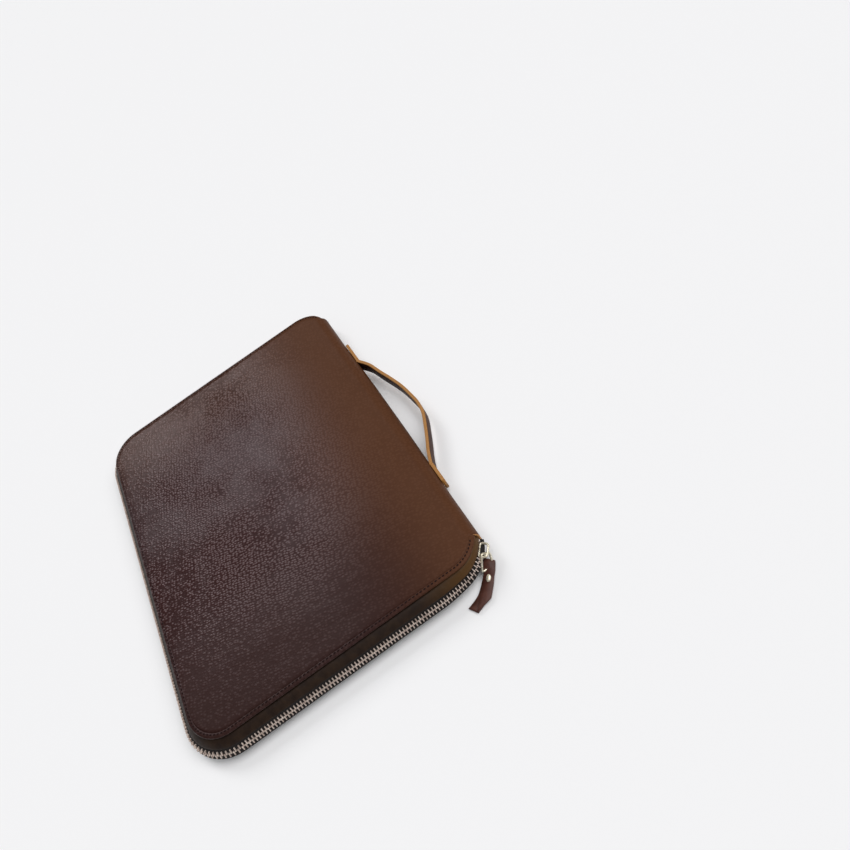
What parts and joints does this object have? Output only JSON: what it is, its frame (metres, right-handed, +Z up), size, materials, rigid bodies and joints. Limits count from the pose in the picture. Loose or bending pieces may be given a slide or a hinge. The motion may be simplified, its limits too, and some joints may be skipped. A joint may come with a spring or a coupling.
{
  "type": "leather document case",
  "caption": "Slim zip-round leather document case with rounded corners, a soft wrapped spine, a strap handle on it and a leather zip pull.",
  "frame": {"origin": "centre of the back panel's underside, on the surface that the case lies on", "axes": "+X along the spine towards the end with the zip's slider, +Y towards the spine and its handle, +Z up out of the front panel"},
  "size_m": [0.3859, 0.2969, 0.028],
  "materials": {
    "body_leather": "pebbled, soft sheen",
    "gusset_leather": "smooth, satin",
    "handle_leather": "smooth, with raw tan edges",
    "tape_cloth": "woven",
    "zip_metal": "satin, pinkish silver",
    "pale_metal": "polished, pale gold"
  },
  "bodies": {
    "root": {"case_body": "body_leather", "gusset_upper": "gusset_leather", "gusset_lower": "gusset_leather", "zip_tape_upper": "tape_cloth", "zip_tape_lower": "tape_cloth", "zip_chain": "zip_metal", "zip_stop_near": "zip_metal", "zip_stop_far": "zip_metal", "zip_slider": "pale_metal", "pull_ring": "pale_metal", "pull_loop": "pale_metal", "pull_strap": "handle_leather", "pull_stud": "pale_metal", "handle": "handle_leather"}
  },
  "joints": []
}
